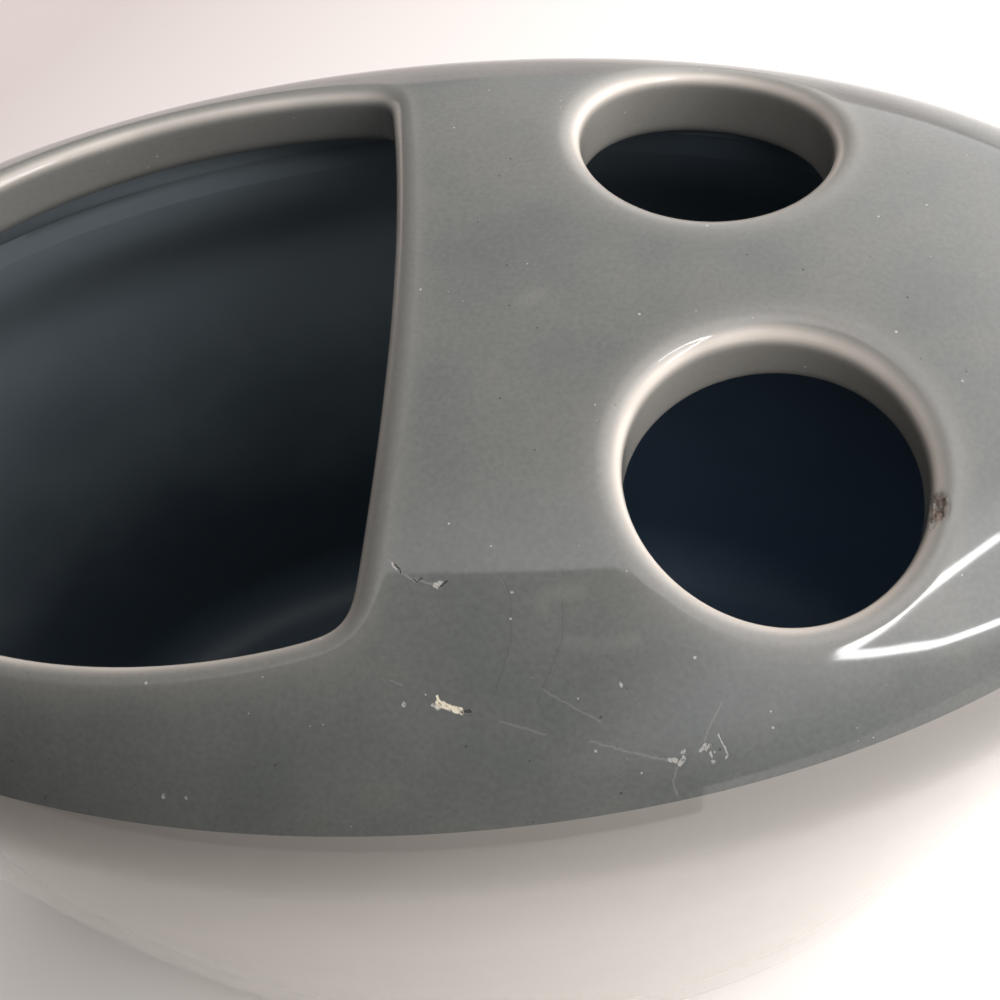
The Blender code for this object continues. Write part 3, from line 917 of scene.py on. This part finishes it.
def crownGrid(outline, normal, edge, throat, slant, barest):
    # Rows run from the cell's edge inwards over the arch, round the lip, down the throat, round its lower
    # edge and out again along the underside. Each row is a place in plan and a height over it. With the grid
    # go how pale the glaze is, with the painted light down the throats, and 1 or 0 for the top or the rest.
    lip, turnIn = crown["lip"], crown["innerEdge"]
    longIn, wideIn, long, wide = innerOval(crown["seat"] + crown["skirt"])
    rows, thin, onTop = [], [], []

    def addRow(place, height, fromLip, fromEdge):
        rows.append(over(place, height))
        fromLip, fromEdge = (np.broadcast_to(part, place.shape) for part in (fromLip, fromEdge))
        thin.append(palenessAt(fromLip, fromEdge, barest))
        onTop.append(np.broadcast_to(np.where(fromLip > -lip, 1.0, 0.0), place.shape))

    foot = outline + lip * normal
    midway = math.pi / 4       # the middle of a quarter round
    for share in 1 - np.linspace(0, 1, fineness["top"], endpoint=False) ** crown["crowding"]:
        place = foot + (edge - foot) * share
        addRow(place, archOver(place), lip * midway + np.abs(place - foot), beyond)
    for turn in np.linspace(math.pi / 2, 0, fineness["lip"]):
        place = outline + lip * (1 - math.cos(turn)) * normal
        height = archOver(place) + lip * (math.sin(turn) - 1)
        addRow(place, height, lip * (turn - midway), beyond)
    top = archOver(outline) - lip
    bottom = archOver(outline) - throat + slant * (outline.real - outline.real.mean())
    for share in np.linspace(0, 1, fineness["throat"])[1:-1]:
        height = top + (bottom + turnIn - top) * share
        addRow(outline, height, -lip * midway - (top - height), height - bottom + turnIn * (midway - 1))
    under = outline + turnIn * normal
    for turn in np.linspace(0, math.pi / 2, fineness["edge"]):
        place = outline + turnIn * (1 - math.cos(turn)) * normal
        addRow(place, bottom + turnIn * (1 - math.sin(turn)), -beyond, np.abs(turnIn * (turn - midway)))
    inner = edge.real * longIn / long + 1j * edge.imag * wideIn / wide
    drop = bottom - underHeight(under)
    for share in np.linspace(0, 1, fineness["under"])[1:]:
        place = under + (inner - under) * share
        height = underHeight(place) + drop * (1 - share) ** 2
        addRow(place, height, -beyond, turnIn * midway + np.abs(place - under))
    slots = np.append(np.zeros(len(rows) - fineness["under"] - 1, int), np.ones(fineness["under"], int))
    return np.array(rows), np.array(thin), np.array(onTop), slots


# A bite that a knock has taken out of the front brush hole's lip
bite = {
    "place": (32.55, -18.85, 94.5),
    "reach": (1.45, 1.1, 1.4),     # half sizes round the hole, across its lip and upright
    "depth": 0.6,
    "push": (0.8, -0.6),           # away from the hole, and up
    "unevenness": 0.3,
    "waves": (5.1, 6.3),           # of that, in radians to the millimetre, round the hole and upright
    "steepness": 0.7,              # under 1, its sides are steeper than its middle
    "brokenBy": 4.0,               # how soon from its edge the clay shows
}


def biteOut(grid):
    # Pushes points in, away from the hole and down, by one less the squared distance from the bite's middle,
    # measured in its half sizes, and uneven by a product of sines. With the grid goes how far each is broken.
    away = np.subtract(bite["place"][:2], frontHole["centre"])
    away = np.append(away / np.linalg.norm(away), 0)
    offset = grid - np.array(bite["place"])
    sideways = np.cross([0, 0, 1], away)
    parts = [offset @ sideways, offset @ away, offset[..., 2]]
    left = np.clip(1 - sum((part / reach) ** 2 for part, reach in zip(parts, bite["reach"])), 0, 1)
    across, upright = bite["waves"]
    uneven = 1 + bite["unevenness"] * np.sin(across * parts[0] + 1) * np.sin(upright * parts[2] + 2)
    inward = away * bite["push"][0] + np.array([0, 0, bite["push"][1]])
    pushed = (bite["depth"] * left ** bite["steepness"] * uneven)[..., None] * inward
    return grid + pushed, np.clip(left * bite["brokenBy"], 0, 1)


def rimTurns(cells):
    # every grid point that lies on the colour line, and its turn round the oval, in the order of the turns
    edges = np.concatenate([edge for _, _, edge in cells])
    onLine = np.abs(archOver(edges) - colourLine) < closeTo
    edges = edges[onLine]
    turns = np.angle(edges.real / halfLength + 1j * edges.imag / halfWidth)
    order = np.argsort(turns)
    turns, edges = turns[order], edges[order]
    fresh = np.append(True, np.diff(turns) > 1e-6)
    return turns[fresh], edges[fresh]


def crownSkirt(rim):
    # Rows run from the underside's edge down the skirt, out, up its outer side and along the seat to the rim.
    longIn, wideIn, long, wide = innerOval(crown["seat"] + crown["skirt"])
    longOut, wideOut, _, _ = innerOval(crown["seat"])

    def ringAt(halfX, halfY):
        return rim.real * halfX / long + 1j * rim.imag * halfY / wide
    inside, outside = ringAt(longIn, wideIn), ringAt(longOut, wideOut)
    seat = colourLine + crown["seatGap"]
    start, bottom = underHeight(inside), crown["skirtBottom"]
    rows = []
    for share in np.linspace(0, 1, fineness["skirt"] + 1):
        rows.append(over(inside, start + (bottom - start) * share))
    for share in (0.5, 1.0):
        rows.append(over(inside + (outside - inside) * share, bottom))
    for share in np.linspace(0, 1, fineness["skirt"] + 1)[1:]:
        rows.append(over(outside, bottom + (seat - bottom) * share))
    for share in crown["seatRows"]:
        rows.append(over(outside + (rim - outside) * share, seat))
    rows.append(over(rim, archOver(rim)))
    return np.array(rows)


def addCrown():
    first = pocketCell()
    divideY = first[2].imag[np.abs(first[2].real - crown["divide"]) < closeTo]
    cells = [first, holeCell(backHole, divideY), holeCell(frontHole, divideY)]
    made = [crownGrid(*cells[0], pocket["throat"], 0.0, glazeThinningAndThroatLight["pocket"])]
    for cell, hole in zip(cells[1:], (backHole, frontHole)):
        made.append(crownGrid(*cell, hole["throat"], hole["throatSlant"], glazeThinningAndThroatLight["hole"]))
    turns, rim = rimTurns(cells)
    grids, thin, onTop, slots = (list(part) for part in zip(*made))
    front, broken = biteOut(grids[2])
    grids[2] = front
    skirt = crownSkirt(rim)
    blank = np.zeros(skirt.shape[:2])
    values = {"paleGlazeAndThroatLight": thin + [blank], "onTop": onTop + [blank],
              "broken": [np.zeros(grids[0].shape[:2]), np.zeros(grids[1].shape[:2]), broken, blank]}
    slots.append(np.where(np.arange(len(skirt) - 1) < fineness["skirt"], 1, 2))
    mesh = meshFromGrids("crown_glazed", grids + [skirt], [slate, insideShaded, clay], slots, values)
    addPiece("crown_glazed", mesh, "grey_glaze", "grey_crown")
    return turns, rim


turns, rim = addCrown()

print("stage: white pot")

pot = {
    "wall": 5.0,
    "rim": 3.5,                # flat of the mouth that the crown rests on
    "rimRing": 0.5,            # how far in it has a ring of points
    "seatGap": 0.15,
    "ledge": crownLow[2] - 0.3,    # just under the crown's skirt
    "ledgeSlope": 0.5,         # its inner edge rises over this width to meet the skirt
    "swell": 14.0,             # height over which the wall thickens up to the ledge
    "floorRounding": 7.0,
    "ringWidth": 4.5,
    "recess": 1.4,
    "rings": {"recess": 6, "edge": 10, "wall": 56, "arch": 18, "inside": 30, "corner": 8, "floor": 8},
}


def potRings():
    # Rings run from the middle of the foot outwards, up the outside, over the mouth and down the inside to
    # the middle of the floor. Each is an oval at a height, or where the arch has that height.
    rings, slots, counts = [], [], pot["rings"]
    scale = halfWidth / halfLength
    footTop = body["foot"] + body["footRounding"]
    flat = halfLength * wallShare(footTop) - body["footRounding"]

    def addRow(place, height, slotIndex):
        rings.append(over(place, height))
        slots.append(slotIndex)

    def addRing(halfX, halfY, z, slotIndex):
        addRow(halfX * np.cos(turns) + 1j * halfY * np.sin(turns), z, slotIndex)
    longRecess, wideRecess = flat - pot["ringWidth"], flat * scale - pot["ringWidth"]
    recessTop = body["foot"] + pot["recess"]
    for share in np.linspace(0, 1, counts["recess"]):
        addRing(longRecess * share, wideRecess * share, recessTop, 0)
    addRing(longRecess, wideRecess, body["foot"], 1)
    for share in (0.5, 1.0):
        addRing(longRecess + pot["ringWidth"] * share, wideRecess + pot["ringWidth"] * share, body["foot"], 1)
    for turn in np.linspace(0, math.pi / 2, counts["edge"])[1:]:
        out = body["footRounding"] * math.sin(turn)
        addRing(flat + out, (flat + out) * scale, footTop - body["footRounding"] * math.cos(turn), 0)
    for z in np.linspace(footTop, widest, counts["wall"])[1:]:
        addRing(halfLength * wallShare(z), halfWidth * wallShare(z), z, 0)
    for z in np.linspace(widest, colourLine, counts["arch"])[1:-1]:
        share = shareAt(turns, z)
        addRing(halfLength * share, halfWidth * share, z, 0)
    addRow(rim, archOver(rim), 0)
    mouthZ = colourLine - pot["seatGap"]
    for inset in (pot["rimRing"], pot["rim"]):
        longSeat, wideSeat, _, _ = innerOval(inset)
        addRing(longSeat, wideSeat, mouthZ, 1)
    addRing(longSeat, wideSeat, pot["ledge"], 1)
    longIn, wideIn, long, wide = innerOval(crown["seat"] + crown["skirt"])
    ledge = rim.real * longIn / long + 1j * rim.imag * wideIn / wide
    addRing(longIn + pot["ledgeSlope"], wideIn + pot["ledgeSlope"], pot["ledge"], 1)
    floorZ = body["foot"] + pot["wall"]
    floorTop = floorZ + pot["floorRounding"]
    for z in np.linspace(crown["skirtBottom"], floorTop, counts["inside"]):
        share = np.clip((crown["skirtBottom"] - z) / pot["swell"], 0, 1)
        share = share * share * (3 - 2 * share)
        longWall, wideWall = halfLength * wallShare(z) - pot["wall"], halfWidth * wallShare(z) - pot["wall"]
        wall = longWall * np.cos(turns) + 1j * wideWall * np.sin(turns)
        addRow(ledge + (wall - ledge) * share, z, 2)
    for turn in np.linspace(0, math.pi / 2, counts["corner"])[1:]:
        inset = pot["floorRounding"] * (1 - math.cos(turn))
        addRing(longWall - inset, wideWall - inset, floorTop - pot["floorRounding"] * math.sin(turn), 2)
    for share in np.linspace(1, 0, counts["floor"])[1:]:
        addRing((longWall - inset) * share, (wideWall - inset) * share, floorZ, 2)
    return np.array(rings), np.array(slots[1:])


def addPot():
    rings, slots = potRings()
    mesh = meshFromGrids("pot_glazed", [rings], [white, clay, insideShaded], [slots])
    addPiece("pot_glazed", mesh, "white_glaze", "white_pot")


addPot()

print("stage: foot pads")

pad = {"edge": 0.5, "edgeRows": 6, "topEdge": 0.15, "columns": 64,
       "names": ("left_front", "right_front", "left_back", "right_back")}


def addPad(name):
    # a turned bumper: a flat foot, a rounded edge, an upright side and a flat top
    low, high = boxOf("foot_pad_" + name)
    centre, radius = (low + high) / 2, (high[0] - low[0]) / 2
    turn = np.linspace(0, 2 * np.pi, pad["columns"], endpoint=False)
    edge, topEdge = pad["edge"], pad["topEdge"]
    profile = [(0, low[2]), (radius / 2, low[2])]
    for step in np.linspace(0, math.pi / 2, pad["edgeRows"]):
        profile.append((radius - edge * (1 - math.sin(step)), low[2] + edge * (1 - math.cos(step))))
    profile += [(radius, high[2] - topEdge), (radius - topEdge, high[2]), (radius / 2, high[2]), (0, high[2])]
    way = np.cos(turn) + 1j * np.sin(turn)
    rows = [over(complex(*centre[:2]) + out * way, z) for out, z in profile]
    mesh = meshFromGrids("pad_" + name, [np.array(rows)], [rubber])
    addPiece("pad_" + name, mesh, "pad_rubber", "foot_pad_" + name)


for padName in pad["names"]:
    addPad(padName)
